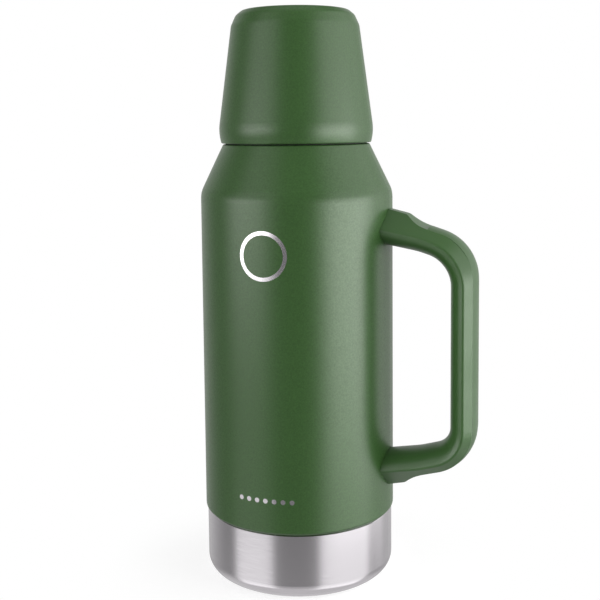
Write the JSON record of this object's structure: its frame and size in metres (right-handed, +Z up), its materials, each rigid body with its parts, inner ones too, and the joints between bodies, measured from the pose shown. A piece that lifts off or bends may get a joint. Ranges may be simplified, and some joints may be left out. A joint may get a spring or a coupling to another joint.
{
  "type": "vacuum flask",
  "caption": "Insulated steel flask with a side handle, a conical shoulder, a screw-on cup and a push-button stopper.",
  "frame": {"origin": "centre of the resting face under the base", "axes": "+Z up the flask's axis, +X towards the handle, -Y is the front"},
  "size_m": [0.1423, 0.098, 0.288],
  "materials": {
    "green_powder_coat": "fine matt powder coat",
    "brushed_base_steel": "brushed round the axis",
    "drawn_steel": "satin",
    "screw_steel": "bright",
    "copper_foil": "bright foil",
    "solder": "dull",
    "getter_grey": "sintered",
    "black_silicone": "matt",
    "clear_silicone": "milky satin",
    "green_handle_plastic": "satin moulded",
    "green_button_plastic": "satin moulded",
    "black_polypropylene": "fine moulded grain",
    "white_foam": "closed-cell foam"
  },
  "bodies": {
    "flask": {"outer_shell": "green_powder_coat", "base_cup": "brushed_base_steel", "base_pad": "black_silicone", "jacket_bottom": "drawn_steel", "vacuum_seal": "solder", "getter": "getter_grey", "inner_vessel": "drawn_steel", "radiation_shield": "copper_foil", "neck_collar": "black_polypropylene", "handle_body": "green_handle_plastic", "handle_cover": "green_handle_plastic", "upper_bracket": "drawn_steel", "lower_bracket": "drawn_steel", "handle_screws": "screw_steel"},
    "cup_seal": {"cup_gasket": "black_silicone"},
    "cup": {"cup_outer": "green_powder_coat", "cup_liner": "black_polypropylene", "cup_thread_ring": "black_polypropylene"},
    "stopper_seal": {"stopper_gasket": "clear_silicone"},
    "stopper": {"stopper_body": "black_polypropylene", "stopper_foam": "white_foam", "stopper_base": "black_polypropylene", "stopper_top_ring": "black_polypropylene", "button_spring": "screw_steel"},
    "button": {"push_button": "green_button_plastic", "valve_stem": "screw_steel", "valve_seal": "clear_silicone"}
  },
  "joints": [
    {"name": "cup_rise", "type": "slide", "parent": "flask", "child": "cup_seal", "axis": [0, 0, 1], "range_m": [0, 0.048]},
    {"name": "cup_turn", "type": "hinge", "parent": "cup_seal", "child": "cup", "pos_m": [0, 0, 0.23], "axis": [0, 0, 1], "range_deg": [0, 1080]},
    {"name": "stopper_rise", "type": "slide", "parent": "flask", "child": "stopper_seal", "axis": [0, 0, 1], "range_m": [0, 0.009]},
    {"name": "stopper_turn", "type": "hinge", "parent": "stopper_seal", "child": "stopper", "pos_m": [0, 0, 0.23], "axis": [0, 0, 1], "range_deg": [0, 810]},
    {"name": "button_press", "type": "slide", "parent": "stopper", "child": "button", "axis": [0, 0, -1], "range_m": [0, 0.004], "stiffness_N_per_m": 400, "deforming": ["button_spring"]}
  ],
  "couplings": [
    {"joint": "cup_rise", "follows": "cup_turn", "m_per_rad": 0.0025465},
    {"joint": "stopper_rise", "follows": "stopper_turn", "m_per_rad": 0.00063662}
  ]
}
